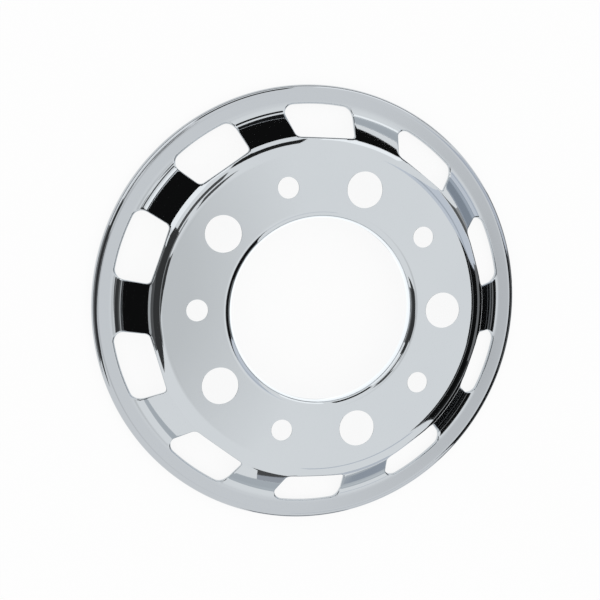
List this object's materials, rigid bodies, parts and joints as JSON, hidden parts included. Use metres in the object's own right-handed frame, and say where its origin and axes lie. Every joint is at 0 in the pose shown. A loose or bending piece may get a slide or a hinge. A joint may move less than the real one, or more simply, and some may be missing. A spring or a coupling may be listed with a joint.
{
  "type": "truck wheel simulator",
  "caption": "Dished chrome wheel cover with a turned hub opening, stud and nut holes and hand holes, held over a truck wheel by its wheel nuts.",
  "frame": {"origin": "on the wheel axis, in the plane of the skirt's back edge, which the cover lies on", "axes": "+Z is the wheel axis and points out of the show side; +X runs through the middle of one wide hole; +Y completes the right-handed frame"},
  "size_m": [0.594, 0.594, 0.0655],
  "materials": {
    "polished_sheet": "mirror polished stainless steel"
  },
  "bodies": {
    "root": {"wheel_cover": "polished_sheet"}
  },
  "joints": []
}
